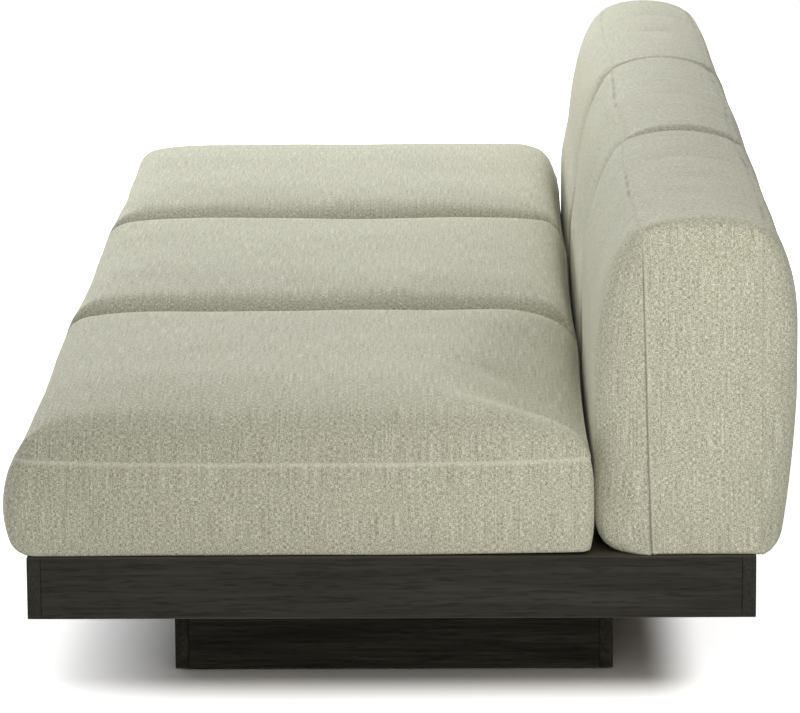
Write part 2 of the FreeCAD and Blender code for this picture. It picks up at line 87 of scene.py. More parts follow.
def put(tree, kind, inputs=None, **settings):
    node = tree.nodes.new(kind)
    for key, value in settings.items():
        setattr(node, key, value)
    for key, value in (inputs or {}).items():
        feed(tree, node.inputs[key], value)
    return node


def calc(tree, operation, first, second=0.0):
    return put(tree, "ShaderNodeMath", {0: first, 1: second}, operation=operation).outputs[0]


def paint(red, green, blue):  # screen colour 0-255 to scene linear
    levels = [v / 255 for v in (red, green, blue)]
    linear = [v / 12.92 if v <= 0.04045 else ((v + 0.055) / 1.055) ** 2.4 for v in levels]
    return (*linear, 1.0)


def ramp(tree, factor, stops):
    node = put(tree, "ShaderNodeValToRGB", {0: factor})
    while len(node.color_ramp.elements) < len(stops):
        node.color_ramp.elements.new(1.0)
    for element, (place, colour) in zip(node.color_ramp.elements, stops):
        element.position = place
        element.color = colour
    return node.outputs[0]


def blendColour(tree, mode, factor, first, second):
    inputs = {0: factor, 6: first, 7: second}  # 6 and 7 are the node's colours
    return put(tree, "ShaderNodeMix", inputs, data_type="RGBA", blend_type=mode).outputs[2]


def remap(tree, value, low, high, start=0.0, end=1.0):
    return put(tree, "ShaderNodeMapRange", {0: value, 1: low, 2: high, 3: start, 4: end}).outputs[0]


def startMaterial(name):
    material = bpy.data.materials.new(name)
    material.use_nodes = True
    tree = material.node_tree
    place = put(tree, "ShaderNodeTexCoord").outputs["Object"]
    return material, tree, tree.nodes["Principled BSDF"], place


def noise(tree, vector, scale, detail=2.0, roughness=0.5, distortion=0.0):
    return put(tree, "ShaderNodeTexNoise", {
        "Vector": vector, "Scale": scale, "Detail": detail, "Roughness": roughness, "Distortion": distortion,
    }).outputs["Fac"]


def stretched(tree, vector, scale):
    return put(tree, "ShaderNodeMapping", {"Vector": vector, "Scale": scale}).outputs[0]


def dress(tree, shader, colour, rough, height=None, bump=(0.0, 0.0)):
    feed(tree, shader.inputs["Base Color"], colour)
    feed(tree, shader.inputs["Roughness"], rough)
    if height is not None:
        relief = put(tree, "ShaderNodeBump", {"Height": height, "Strength": bump[0], "Distance": bump[1]})
        feed(tree, shader.inputs["Normal"], relief.outputs[0])


def seenRays(tree):  # what the camera sees straight, in a mirror or through glass
    path = put(tree, "ShaderNodeLightPath").outputs
    rays = calc(tree, "ADD", path["Is Camera Ray"], path["Is Glossy Ray"])
    return calc(tree, "MINIMUM", calc(tree, "ADD", rays, path["Is Transmission Ray"]), 1.0)


floorSet = {
    "half": 30.0,
    "colour": (0.93, 0.93, 0.925, 1.0),
    "cloud": (0.88, 0.88, 0.87, 1.0),
    "cloudScale": 1.5,
    "cloudShare": 0.05,
    "rough": 0.9,
    "shine": 0.05,
    # along x, then y: low side and high side, each with where the lift starts and how far it fades in
    "edges": (((-1.04, 0.17), (1.035, 0.165)), ((-0.283, 0.315), (0.34, 0.10))),
    "lift": (0.0, 0.8),
}


def addFloor(c):
    mesh = bpy.data.meshes.new("studioFloor")
    h = c["half"]
    mesh.from_pydata([(-h, -h, 0), (h, -h, 0), (h, h, 0), (-h, h, 0)], [], [(0, 1, 2, 3)])
    floor = bpy.data.objects.new("studioFloor", mesh)
    scene.collection.objects.link(floor)
    material, tree, shader, place = startMaterial("paleFloor")
    cloud = calc(tree, "MULTIPLY", noise(tree, place, c["cloudScale"], 3), c["cloudShare"])
    dress(tree, shader, blendColour(tree, "MIX", cloud, c["colour"], c["cloud"]), c["rough"])
    shader.inputs["Specular IOR Level"].default_value = c["shine"]
    shader.inputs["Emission Color"].default_value = (1, 1, 1, 1)
    parts = put(tree, "ShaderNodeSeparateXYZ", {0: place})
    gaps = []
    for axis, (low, high) in enumerate(c["edges"]):  # distance outside the sofa's shadow
        below = calc(tree, "DIVIDE", calc(tree, "SUBTRACT", low[0], parts.outputs[axis]), low[1])
        above = calc(tree, "DIVIDE", calc(tree, "SUBTRACT", parts.outputs[axis], high[0]), high[1])
        gap = calc(tree, "MAXIMUM", calc(tree, "MAXIMUM", below, above), 0.0)
        gaps.append(calc(tree, "POWER", gap, 2.0))
    away = calc(tree, "SQRT", calc(tree, "ADD", gaps[0], gaps[1]))
    lift = put(tree, "ShaderNodeMapRange", {0: away, 1: 0.0, 2: 1.0, 3: c["lift"][0], 4: c["lift"][1]},
               interpolation_type="SMOOTHSTEP").outputs[0]
    feed(tree, shader.inputs["Emission Strength"], calc(tree, "MULTIPLY", seenRays(tree), lift))
    mesh.materials.append(material)


lightSet = {
    "ambient": ((0.98, 0.99, 1.0, 1.0), 0.14),
    "lamps": [
        # name, place, aim, size, watts, colour
        ("topBox", (-2.4, -0.9, 4.6), (-0.1, -0.1, 0.3), 5.0, 172.0, (1.0, 0.988, 0.99)),
        ("farBox", (-5.0, 0.0, 1.8), (0.0, 0.0, 0.4), 2.5, 125.0, (0.975, 1.0, 0.995)),
        ("frontBox", (1.2, -4.5, 1.7), (0.6, 0.2, 0.45), 2.5, 36.0, (0.99, 0.995, 1.0)),
        ("cornerBox", (-3.5, -3.5, 1.6), (0.0, 0.2, 0.45), 2.5, 78.0, (0.97, 0.985, 1.0)),
        ("rearSideBox", (2.3, 1.15, 1.3), (1.1, 0.1, 0.41), 0.5, 4.8, (1.0, 0.985, 0.93)),
        ("sideBox", (2.5, 0.35, 0.95), (1.2, 0.2, 0.4), 0.8, 7.4, (1.0, 0.985, 0.90)),
        ("lowBox", (2.4, 0.3, 0.45), (1.2, 0.2, 0.4), 0.8, 1.6, (1.0, 0.985, 0.95)),
        ("rearBox", (-0.2, 4.2, 4.5), (0.0, 0.4, 0.4), 3.0, 20.0, (1.0, 1.0, 1.0)),
    ],
}


def addLight(c):
    world = bpy.data.worlds.new("studioAir")
    scene.world = world
    world.use_nodes = True
    tree = world.node_tree
    air = tree.nodes["Background"]
    air.inputs["Color"].default_value = c["ambient"][0]
    air.inputs["Strength"].default_value = c["ambient"][1]
    white = put(tree, "ShaderNodeBackground", {"Color": (1, 1, 1, 1), "Strength": 1.0})
    sky = put(tree, "ShaderNodeMixShader", {0: seenRays(tree), 1: air.outputs[0], 2: white.outputs[0]})
    tree.links.new(sky.outputs[0], tree.nodes["World Output"].inputs["Surface"])
    for name, place, aim, size, watts, colour in c["lamps"]:
        data = bpy.data.lights.new(name, "AREA")
        data.shape = "SQUARE"
        data.size = size
        data.energy = watts
        data.color = colour
        lamp = bpy.data.objects.new(name, data)
        lamp.location = place
        lamp.visible_camera = False
        lamp.rotation_euler = (Vector(aim) - Vector(place)).to_track_quat("-Z", "Y").to_euler()
        scene.collection.objects.link(lamp)


scene.view_settings.view_transform = "Standard"
addCamera(cameraSet)
addFloor(floorSet)
addLight(lightSet)
print("camera, floor and light ready")

# finishes

linenSet = {
    "deep": paint(149, 147, 122),
    "middle": paint(200, 199, 179),
    "pale": paint(243, 242, 228),
    "tones": (0.385, 0.51, 0.65),  # where these three stand
    "pitch": 0.0022,  # yarn spacing
    "threads": 3.0,  # fine threads to a yarn
    "knot": 0.0055,  # length of the short thick places in a yarn
    "slub": 0.070,  # length of the long ones
    "slubYarns": 0.9,  # and how many lie side by side to a yarn
    "weftSlubs": 2.5,  # in the weft they are shorter by this
    "weftLess": 0.05,  # and weaker
    "thick": (0.56, 0.78),  # from where a slub shows, to where it is full
    "thin": (0.44, 0.28),
    "weaveTone": 0.03, "thickTone": 0.07, "thinTone": 0.05,
    "yarnHeight": 0.6, "weaveHeight": 0.10, "thickHeight": 0.25,
    "bump": (0.7, 0.0016),
    "rough": (0.95, 0.82),  # between yarns, on yarns
    "cloud": (0.96, 0.96, 0.955, 1.0), "cloudScale": 4.5,
    # painted shade for the seam lines and how strong it is; painted highlight on the ridges beside them
    "seamShade": paint(104, 101, 82), "seamShadeShare": 0.7, "ridgeHighlightShare": 0.55,
    "shine": 0.2, "sheen": 0.12, "sheenRough": 0.45, "sheenTint": (0.95, 0.97, 0.93, 1.0),
}


def linenFinish(c):
    material, tree, shader, place = startMaterial("slubLinen")
    cloth = put(tree, "ShaderNodeUVMap", uv_map="weave").outputs[0]
    yarn = 1 / c["pitch"]
    thread = yarn * c["threads"]
    knot = 1 / c["knot"]
    slub = 1 / c["slub"]
    slubYarn = yarn * c["slubYarns"]
    weft = noise(tree, stretched(tree, cloth, (knot, thread, 1)), 1.0, 1.0)
    warp = noise(tree, stretched(tree, cloth, (thread, knot, 1)), 1.0, 1.0)
    longWeft = noise(tree, stretched(tree, cloth, (slub * c["weftSlubs"], slubYarn, 1)), 1.0, 1.0)
    longWarp = noise(tree, stretched(tree, cloth, (slubYarn, slub, 1)), 1.0, 1.0)
    split = put(tree, "ShaderNodeSeparateXYZ", {0: cloth})
    across = calc(tree, "SINE", calc(tree, "MULTIPLY", split.outputs[0], math.pi * yarn))
    along = calc(tree, "SINE", calc(tree, "MULTIPLY", split.outputs[1], math.pi * yarn))
    over = calc(tree, "MULTIPLY", across, along)  # plain weave, over and under
    both = calc(tree, "ADD", weft, warp)
    strong = calc(tree, "MAXIMUM", calc(tree, "SUBTRACT", longWeft, c["weftLess"]), longWarp)
    thick = remap(tree, strong, *c["thick"])
    thin = remap(tree, longWarp, *c["thin"])
    tone = calc(tree, "ADD", calc(tree, "MULTIPLY", both, 0.5), calc(tree, "MULTIPLY", over, c["weaveTone"]))
    tone = calc(tree, "ADD", tone, calc(tree, "MULTIPLY", thick, c["thickTone"]))
    tone = calc(tree, "SUBTRACT", tone, calc(tree, "MULTIPLY", thin, c["thinTone"]))
    colour = ramp(tree, tone, list(zip(c["tones"], (c["deep"], c["middle"], c["pale"]))))
    cloud = ramp(tree, noise(tree, place, c["cloudScale"], 3, 0.55), [(0.3, c["cloud"]), (0.7, (1, 1, 1, 1))])
    colour = blendColour(tree, "MULTIPLY", 1.0, colour, cloud)
    # painted shade darkens the seam lines, painted highlight lightens the ridges beside them
    seam = put(tree, "ShaderNodeAttribute", attribute_name="seam").outputs["Fac"]
    colour = blendColour(tree, "MIX", calc(tree, "MULTIPLY", seam, c["seamShadeShare"]), colour, c["seamShade"])
    ridge = put(tree, "ShaderNodeAttribute", attribute_name="ridge").outputs["Fac"]
    colour = blendColour(tree, "MIX", calc(tree, "MULTIPLY", ridge, c["ridgeHighlightShare"]), colour, c["pale"])
    height = calc(tree, "MULTIPLY", both, c["yarnHeight"])
    height = calc(tree, "ADD", height, calc(tree, "MULTIPLY", over, c["weaveHeight"]))
    height = calc(tree, "ADD", height, calc(tree, "MULTIPLY", thick, c["thickHeight"]))
    dress(tree, shader, colour, remap(tree, both, 0.6, 1.4, *c["rough"]), height, c["bump"])
    shader.inputs["Specular IOR Level"].default_value = c["shine"]
    shader.inputs["Sheen Weight"].default_value = c["sheen"]
    shader.inputs["Sheen Roughness"].default_value = c["sheenRough"]
    shader.inputs["Sheen Tint"].default_value = c["sheenTint"]
    return material


oakSet = {
    "rail": {
        "deep": paint(33, 32, 28), "middle": paint(43, 42, 36), "pale": paint(55, 54, 46),
        "edge": (0.125, 0.212), "gloss": 0.15,
    },
    "plinth": {
        "deep": paint(30, 28, 23), "middle": paint(47, 45, 38), "pale": paint(70, 67, 58),
        "edge": (0.003, 0.125), "gloss": 0.10,
    },
    "deck": {
        "deep": paint(26, 24, 20), "middle": paint(36, 34, 29), "pale": paint(50, 48, 41),
        "edge": (0.19, 0.212), "gloss": 0.15,
    },
}
grainSet = {
    "grain": (5.0, 160.0), "ring": (1.6, 30.0), "pore": (25.0, 352.0),  # along the grain, across it
    "poreTone": (0.45, 0.45, 0.45, 1.0), "poreShare": 0.85,
    "worn": paint(118, 113, 98), "wornShare": 0.55, "wornWidth": 0.0025,
    "bump": (0.35, 0.0009), "rough": (0.66, 0.5),
}


def grainNoise(tree, place, axis, scales, *look):  # drawn out along one axis
    along, across = scales
    scale = [across] * 3
    scale["xyz".index(axis)] = along
    return noise(tree, stretched(tree, place, scale), 1.0, *look)


def oakFinish(name, axis, c, plies=None):  # open-pored oak under dark stain
    material, tree, shader, place = startMaterial(name)
    grain = grainNoise(tree, place, axis, grainSet["grain"], 4, 0.62)
    ring = grainNoise(tree, place, axis, grainSet["ring"], 3, 0.5, 0.6)
    pore = grainNoise(tree, place, axis, grainSet["pore"], 1.0)
    tone = calc(tree, "ADD", calc(tree, "MULTIPLY", grain, 0.6), calc(tree, "MULTIPLY", ring, 0.4))
    colour = ramp(tree, tone, [(0.36, c["deep"]), (0.5, c["middle"]), (0.68, c["pale"])])
    pores = ramp(tree, pore, [(0.34, grainSet["poreTone"]), (0.46, (1, 1, 1, 1))])
    colour = blendColour(tree, "MULTIPLY", grainSet["poreShare"], colour, pores)
    height = put(tree, "ShaderNodeSeparateXYZ", {0: place}).outputs[2]
    bottom, top = c["edge"]
    low = remap(tree, height, bottom + grainSet["wornWidth"], bottom)
    high = remap(tree, height, top - grainSet["wornWidth"], top)
    broken = calc(tree, "MULTIPLY", grain, grainSet["wornShare"])
    rub = calc(tree, "MULTIPLY", calc(tree, "MAXIMUM", low, high), broken)  # worn edges, broken up
    colour = blendColour(tree, "MIX", rub, colour, grainSet["worn"])
    if plies:  # raw layers show on the cut edges
        layer = calc(tree, "FRACT", calc(tree, "MULTIPLY", height, 1 / plies["layer"]))
        raw = ramp(tree, layer, [(0.45, plies["pale"]), (0.55, plies["deep"])])
        facing = put(tree, "ShaderNodeNewGeometry").outputs["True Normal"]
        upward = put(tree, "ShaderNodeSeparateXYZ", {0: facing}).outputs[2]
        cutEdge = calc(tree, "LESS_THAN", calc(tree, "ABSOLUTE", upward), 0.5)
        colour = blendColour(tree, "MIX", cutEdge, colour, raw)
    rise = calc(tree, "ADD", calc(tree, "MULTIPLY", grain, 0.6), calc(tree, "MULTIPLY", pore, 0.6))
    dress(tree, shader, colour, remap(tree, tone, 0.3, 0.7, *grainSet["rough"]), rise, grainSet["bump"])
    shader.inputs["Specular IOR Level"].default_value = c["gloss"]
    return material


timberSet = {
    "pine": {
        "deep": paint(176, 134, 86), "pale": paint(222, 190, 143), "ring": (1.4, 26.0), "rings": 7.0,
        "fibre": (6.0, 210.0), "bump": (0.3, 0.0006), "rough": (0.75, 0.6),
    },
    "ply": {"deep": paint(150, 106, 66), "pale": paint(214, 184, 140), "layer": 0.0028},
}


def timberFinish(name, axis, c):
    material, tree, shader, place = startMaterial(name)
    ring = grainNoise(tree, place, axis, c["ring"], 3, 0.55, 1.2)
    fibre = grainNoise(tree, place, axis, c["fibre"], 2, 0.6)
    wave = calc(tree, "FRACT", calc(tree, "MULTIPLY", ring, c["rings"]))
    tone = calc(tree, "ADD", calc(tree, "MULTIPLY", wave, 0.6), calc(tree, "MULTIPLY", fibre, 0.4))
    colour = ramp(tree, tone, [(0.15, c["pale"]), (0.85, c["deep"])])
    dress(tree, shader, colour, remap(tree, fibre, 0.3, 0.7, *c["rough"]), fibre, c["bump"])
    return material


steelSet = {
    "deep": paint(24, 24, 24), "pale": paint(36, 36, 37), "cloud": 14.0, "peel": 900.0,
    "bump": (0.25, 0.0004), "rough": (0.42, 0.56),
}


def steelFinish(c):  # black powder coat
    material, tree, shader, place = startMaterial("blackSteel")
    peel = noise(tree, place, c["peel"])
    colour = ramp(tree, noise(tree, place, c["cloud"], 3), [(0.35, c["deep"]), (0.65, c["pale"])])
    dress(tree, shader, colour, remap(tree, peel, 0.3, 0.7, *c["rough"]), peel, c["bump"])
    return material


zincSet = {"deep": paint(160, 162, 160), "pale": paint(201, 202, 198), "spangle": 420.0, "rough": (0.34, 0.5)}


def zincFinish(c):
    material, tree, shader, place = startMaterial("zincScrew")
    spangle = noise(tree, place, c["spangle"], 2, 0.6)
    colour = ramp(tree, spangle, [(0.35, c["deep"]), (0.65, c["pale"])])
    dress(tree, shader, colour, remap(tree, spangle, 0.3, 0.7, *c["rough"]))
    shader.inputs["Metallic"].default_value = 1.0
    return material


feltSet = {
    "deep": paint(66, 64, 60), "pale": paint(120, 117, 110), "fibre": 650.0,
    "bump": (0.7, 0.0008), "rough": 0.95, "sheen": 0.2,
}


def feltFinish(c):
    material, tree, shader, place = startMaterial("greyFelt")
    fibre = noise(tree, place, c["fibre"], 4, 0.7, 1.5)
    colour = ramp(tree, fibre, [(0.35, c["deep"]), (0.68, c["pale"])])
    dress(tree, shader, colour, c["rough"], fibre, c["bump"])
    shader.inputs["Sheen Weight"].default_value = c["sheen"]
    return material


linen = linenFinish(linenSet)
finishes = {
    "railAlongX": oakFinish("railOakLong", "x", oakSet["rail"]),
    "railAlongY": oakFinish("railOakEnd", "y", oakSet["rail"]),
    "plinthAlongX": oakFinish("plinthOakLong", "x", oakSet["plinth"]),
    "plinthAlongY": oakFinish("plinthOakEnd", "y", oakSet["plinth"]),
    "pineAlongX": timberFinish("frameTimberLong", "x", timberSet["pine"]),
    "pineAlongY": timberFinish("frameTimberCross", "y", timberSet["pine"]),
    "ply": oakFinish("deckPly", "x", oakSet["deck"], timberSet["ply"]),
    "steel": steelFinish(steelSet),
    "zinc": zincFinish(zincSet),
    "felt": feltFinish(feltSet),
}

finishOf = {
    "front_rail": "railAlongX", "rear_rail": "railAlongX",
    "left_end_rail": "railAlongY", "right_end_rail": "railAlongY",
    "plinth_front": "plinthAlongX", "plinth_rear": "plinthAlongX",
    "plinth_left_end": "plinthAlongY", "plinth_right_end": "plinthAlongY", "plinth_divider": "plinthAlongY",
    "left_cross_rail": "pineAlongY", "right_cross_rail": "pineAlongY",
    "front_bearer": "pineAlongX", "middle_bearer": "pineAlongX", "back_bearer": "pineAlongX",
    "front_cleats": "pineAlongX", "rear_cleats": "pineAlongX", "end_cleats": "pineAlongY",
    "plinth_blocks": "pineAlongX", "frame_tenons": "pineAlongX",
    "left_deck_panel": "ply", "middle_deck_panel": "ply", "right_deck_panel": "ply",
    "floor_glides": "felt", "upright_screws": "zinc",
}
for number in range(1, 7):
    finishOf["back_upright_%d" % number] = "steel"
for name, finish in finishOf.items():
    solid = solids[name]
    solid.data.materials.clear()
    solid.data.materials.append(finishes[finish])
print("finishes on", len(finishOf), "solids")

# screws

screwSet = {
    "head": 0.0046, "shank": 0.45, "sunk": 0.0030, "proud": 0.0001,  # shank as a share of the head
    "recess": 0.42, "depth": 0.0016, "sides": 16, "turn": 6.283,
    "spacing": 0.18, "margin": 0.05, "seed": 5,
}
screwInputs = {
    "Head radius": "head", "Sunk": "sunk", "Recess share": "recess", "Recess depth": "depth", "Seed": "seed",
}


def screwTree(c):  # countersunk heads, one to each point, turned at random
    tree = bpy.data.node_groups.new("deckScrewHeads", "GeometryNodeTree")
    tree.interface.new_socket("Geometry", in_out="INPUT", socket_type="NodeSocketGeometry")
    names = {}
    for label, key in screwInputs.items():
        kind = "NodeSocketInt" if key == "seed" else "NodeSocketFloat"
        names[label] = tree.interface.new_socket(label, in_out="INPUT", socket_type=kind).identifier
    tree.interface.new_socket("Geometry", in_out="OUTPUT", socket_type="NodeSocketGeometry")
    given = tree.nodes.new("NodeGroupInput").outputs
    head = put(tree, "GeometryNodeMeshCone", {
        "Vertices": c["sides"], "Radius Top": given["Head radius"], "Depth": given["Sunk"],
        "Radius Bottom": calc(tree, "MULTIPLY", given["Head radius"], c["shank"]),
    })
    ring = put(tree, "GeometryNodeExtrudeMesh", {
        "Mesh": head.outputs["Mesh"], "Selection": head.outputs["Top"], "Offset Scale": 0.0,
    }, mode="FACES")
    small = put(tree, "GeometryNodeScaleElements", {
        "Geometry": ring.outputs["Mesh"], "Selection": ring.outputs["Top"], "Scale": given["Recess share"],
    })
    inward = put(tree, "GeometryNodeExtrudeMesh", {
        "Mesh": small.outputs[0], "Selection": ring.outputs["Top"],
        "Offset Scale": calc(tree, "MULTIPLY", given["Recess depth"], -1.0),
    }, mode="FACES")
    turn = put(tree, "FunctionNodeRandomValue", {
        "Max": (0.0, 0.0, c["turn"]), "Seed": given["Seed"],
    }, data_type="FLOAT_VECTOR")
    copies = put(tree, "GeometryNodeInstanceOnPoints", {
        "Points": given["Geometry"], "Instance": inward.outputs["Mesh"], "Rotation": turn.outputs[0],
    })
    real = put(tree, "GeometryNodeRealizeInstances", {"Geometry": copies.outputs[0]})
    coat = put(tree, "GeometryNodeSetMaterial", {"Geometry": real.outputs[0], "Material": finishes["zinc"]})
    put(tree, "NodeGroupOutput", {0: coat.outputs[0]})
    return tree, names


def addScrews(c):
    places = []
    for panel in ("left", "middle", "right"):
        low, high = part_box("%s_deck_panel" % panel)
        count = int((high.x - low.x - 2 * c["margin"]) / c["spacing"]) + 1
        for bearer in ("front", "middle", "back"):
            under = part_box("%s_bearer" % bearer)
            y = (under[0].y + under[1].y) / 2
            for x in np.linspace(low.x + c["margin"], high.x - c["margin"], count):
                places.append((x, y, high.z - c["sunk"] + c["proud"]))
    mesh = bpy.data.meshes.new("deck_screws")
    mesh.from_pydata(places, [], [])
    piece = bpy.data.objects.new("deck_screws", mesh)
    scene.collection.objects.link(piece)
    tree, names = screwTree(c)
    heads = piece.modifiers.new("heads", "NODES")
    heads.node_group = tree
    for label, key in screwInputs.items():
        heads[names[label]] = c[key]
    ready = piece.evaluated_get(bpy.context.evaluated_depsgraph_get())
    final = bpy.data.meshes.new_from_object(ready)
    piece.modifiers.clear()
    piece.data = final
    final.name = "deck_screws"
    bpy.data.meshes.remove(mesh)
    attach(piece, "base")
    top = max(v.co.z for v in final.vertices)
    print("deck screws:", len(places), "heads,", len(final.polygons), "faces, top at %.4f" % top)


addScrews(screwSet)

# cushions

seatSet = {
    "half": 0.3965, "outer": 0.0015, "front": -0.527, "rear": 0.262, "base": 0.2123,
    "seam": 0.350, "sag": 0.008, "pull": 0.003, "corner": (0.026, 0.012),  # front and rear
    "rise": 0.060, "crown": 0.010,  # height above the seam
    "square": 2.6, "endSquare": 2.6, "meet": 5,  # squareness of the edges, sharpness where two meet
    "plump": {"left": 0.010, "middle": 0.006, "right": 0.001},  # no two are stuffed alike
    "endRun": 0.050, "frontRun": 0.052, "rearRun": {"left": 0.045, "middle": 0.045, "right": 0.060},
    "frontFall": 0.008, "fallRun": 0.20,
    "endFall": {"left": 0.0, "middle": 0.0, "right": 0.017}, "endFallRun": 0.26,  # towards a free end
    "drop": {"left": 0.004, "middle": 0.010, "right": 0.068}, "dropRun": (0.10, 0.26),  # of the rear edge
    "dropFrom": 0.3, "dropReach": 1.7,  # share of it at the left end, where along the seat it is full
    # the free end stays up as a rim beside the sunken corner
    "rim": {"start": 0.02, "run": 0.16, "widen": 0.025, "keepRun": 0.4, "keepDrop": 0.1},
    "frontBulge": 0.015, "rearBulge": 0.004, "endBulge": 0.004, "outerBulge": 0.009,
    "endFoot": 0.009, "outerFoot": 0.005, "frontFoot": 0.017, "rearFoot": 0.006,
    "cock": 0.004, "cockFrom": (0.25, 0.8),  # lift of the rear corners, where it starts each way
    "footShare": 0.2, "heldShare": 0.14,  # parts of a side's lines that round the foot, that are held
    "footWave": (0.25, 0.15), "dents": (0.22, 0.0011),  # length and size
    "cells": (40, 40, 9), "panels": 1, "turned": (0, 1),  # turned: the warp runs along the sofa
}
backSet = {
    "half": 0.3965, "outer": 0.0015, "rear": 0.497, "lean": 0.016, "top": 0.6640, "base": 0.2123,
    "front": {"left": 0.345, "middle": 0.340, "right": 0.330}, "pull": 0.003,
    "plump": {"left": -0.002, "middle": 0.002, "right": -0.001},
    "frontFill": 0.061, "rearFill": 0.045, "rearTaper": (0.45, 0.22), "square": 2.5,
    "fillOut": {"line": 0.329, "below": 0.47, "run": 0.10},  # low down a front fills out to the seat
    "pressed": (0.5, 0.18), "parting": 0.7,  # free end squarer low down, neighbours part towards the top
    "topRun": 0.25, "endRun": 0.062, "rearEndRun": 0.050, "rearRun": 0.14,
    "frontFoot": (0.042, 0.026), "rearFoot": (0.018, 0.024),  # flat part under the panel, radius above it
    "topCrown": 0.018, "endBulge": 0.0065, "outerBulge": 0.008,
    "topCorner": (0.012, 0.030), "lowCorner": 0.006,  # at the top a free end, then a shared one
    "bow": 0.005, "wander": (0.3, 0.0016), "held": 0.02,
    "cells": (44, 26, 8), "panels": 2, "turned": (2, 3),
    "uprights": (-0.25, 0.25), "slot": {"half": 0.0315, "near": 0.4125, "far": 0.4235, "depth": 0.335},
}
seamSteps = np.array([0.0, 0.0022, 0.0055, 0.011, 0.019, 0.029, 0.041])
seamHold = 0.012  # cloth this close to a seam is held
climbSteps = np.array([0.0, 0.035, 0.085, 0.17, 0.30, 0.47, 0.68])  # shares of a panel's climb from its seam
levelSteps = np.array([0.28, 0.40, 0.53, 0.68, 0.85])  # shares of its run, after the climb
edgeCount = len(climbSteps) + len(levelSteps)
edgeLead = 0.025  # leaves out the very upright start of the curve
bays = {"left": -0.8, "middle": 0.0, "right": 0.8}


def spread(low, high, cells):  # lines closer together towards both seams
    inner = np.linspace(low + seamSteps[-1], high - seamSteps[-1], cells + 1)
    return np.concatenate([low + seamSteps[:-1], inner, high - seamSteps[:-1][::-1]])


def shellGrid(nx, ny, nz):  # the six sheets of a box of lines
    ids = np.full((nx + 1, ny + 1, nz + 1), -1)
    i, j, k = np.indices(ids.shape)
    shell = (i == 0) | (i == nx) | (j == 0) | (j == ny) | (k == 0) | (k == nz)
    ids[shell] = np.arange(shell.sum())
    sheets = (
        (ids[:, :, nz], False), (ids[:, :, 0], True), (ids[nx, :, :], False),
        (ids[0, :, :], True), (ids[:, ny, :], True), (ids[:, 0, :], False),
    )
    quads = np.concatenate([sheetQuads(sheet, flip) for sheet, flip in sheets])
    sides = np.repeat(np.arange(6), [(s.shape[0] - 1) * (s.shape[1] - 1) for s, _ in sheets])
    return np.argwhere(shell), quads, sides, sheets


def sheetQuads(sheet, flip):
    a, b, c, d = sheet[:-1, :-1], sheet[1:, :-1], sheet[1:, 1:], sheet[:-1, 1:]
    ring = (a, d, c, b) if flip else (a, b, c, d)
    return np.stack([part.reshape(-1, *sheet.shape[2:]) for part in ring], 1)


def fade(distance, run, power=1.0):  # one at the edge, nothing from the run on
    return np.clip(1 - distance / run, 0, 1) ** power


def mix(first, second, share):
    return first + (second - first) * share


def shoulder(distance, run, power):
    return (1 - fade(distance, run, 2)) ** power


def roundedPlan(p, q, halfP, halfQ, radius):  # corner squares become quarter discs
    sp = np.clip((np.abs(p) - halfP + radius) / radius, 0, 1)
    sq = np.clip((np.abs(q) - halfQ + radius) / radius, 0, 1)
    outP = sp * np.sqrt(1 - sq ** 2 / 2)
    outQ = sq * np.sqrt(1 - sp ** 2 / 2)
    newP = np.sign(p) * (np.minimum(np.abs(p), halfP - radius) + radius * outP)
    newQ = np.sign(q) * (np.minimum(np.abs(q), halfQ - radius) + radius * outQ)
    length = np.maximum(np.hypot(outP, outQ), 1e-9)
    return newP, newQ, np.sign(p) * outP / length, np.sign(q) * outQ / length


def ripple(points, seed, wave, size):  # smooth seeded unevenness
    rng = np.random.default_rng(seed)
    total = np.zeros(len(points))
    for _ in range(9):
        way = rng.normal(size=3)
        way *= 2 * np.pi / (np.linalg.norm(way) * wave * rng.uniform(0.7, 1.6))
        total += np.sin(points @ way + rng.uniform(0, 2 * np.pi))
    return size * total / 3


def roundOver(share, square):
    return (1 - np.clip(1 - share, 0, 1) ** square) ** (1 / square)


def squareEdge(distance, run, square):  # steep at the seam, then over to level
    start = roundOver(edgeLead, square)
    return (roundOver(edgeLead + distance / run * (1 - edgeLead), square) - start) / (1 - start)


def edgeLines(half, runs, square, cells):  # crowded where a panel climbs from its seam
    start = roundOver(edgeLead, square)
    climb = start + (1 - start) * climbSteps
    first = (1 - (1 - climb ** square) ** (1 / square) - edgeLead) / (1 - edgeLead)
    near = np.concatenate([first, levelSteps])
    low = -half + near * runs[0]
    high = half - near[::-1] * runs[1]
    return np.concatenate([low[:-1], np.linspace(low[-1], high[0], cells + 1), high[1:]])


def evenLines(lines):  # the same lines away from the panels, with even steps at the edges
    even = lines.copy()
    even[:edgeCount] = np.linspace(lines[0], lines[edgeCount - 1], edgeCount)
    even[-edgeCount:] = np.linspace(lines[-edgeCount], lines[-1], edgeCount)
    return even


